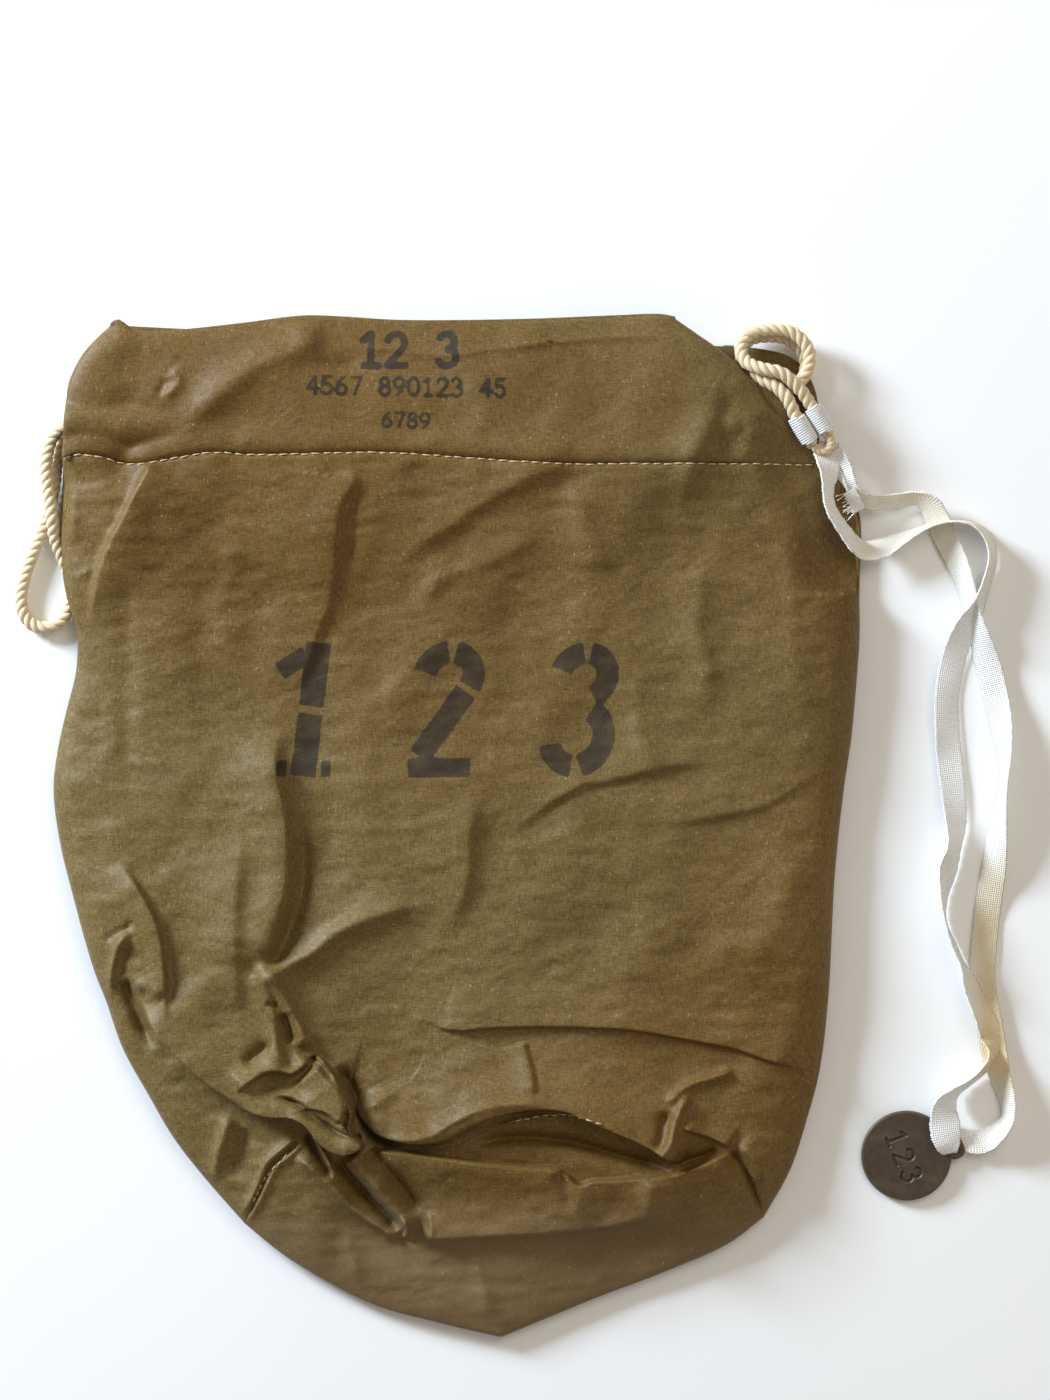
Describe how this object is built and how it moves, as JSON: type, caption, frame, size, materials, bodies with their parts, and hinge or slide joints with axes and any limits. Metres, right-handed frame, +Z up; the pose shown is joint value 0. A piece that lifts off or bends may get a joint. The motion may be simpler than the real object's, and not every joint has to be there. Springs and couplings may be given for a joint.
{
  "type": "drawstring mail sack",
  "caption": "Flat-lying canvas drawstring sack with a round bottom, a cotton rope drawcord in a hemmed casing, and a round tag on a long cotton tape.",
  "frame": {"origin": "under the middle of the sack (its cord, tape and tag not counted), on the surface that it lies on", "axes": "+X to the sack's right seen from the numbered face, +Y towards the mouth, +Z up from the surface, out of the numbered face"},
  "size_m": [0.4534, 0.458, 0.0244],
  "materials": {
    "canvas": "woven cotton duck, brownish olive, washed",
    "thread": "cotton thread",
    "rope": "three-strand cotton rope",
    "whipping_twine": "white cotton twine",
    "tape": "white cotton tape",
    "tag": "dark brown pressed fibre, satin"
  },
  "bodies": {
    "sack": {"front_panel": "canvas", "back_panel": "canvas", "front_casing": "canvas", "back_casing": "canvas", "bottom_panel": "canvas", "front_hem_thread": "thread", "back_hem_thread": "thread", "bottom_seam_thread": "thread", "left_seam_thread": "thread", "right_seam_thread": "thread", "drawcord": "rope", "left_whipping": "whipping_twine", "right_whipping": "whipping_twine", "becket": "rope", "id_tape": "tape"},
    "tag": {"id_tag": "tag"}
  },
  "joints": [
    {"name": "tag_swing", "type": "hinge", "parent": "sack", "child": "tag", "pos_m": [0.2232, -0.1392, 0.0033], "axis": [0, 0, 1], "range_deg": [-15, 15]}
  ]
}
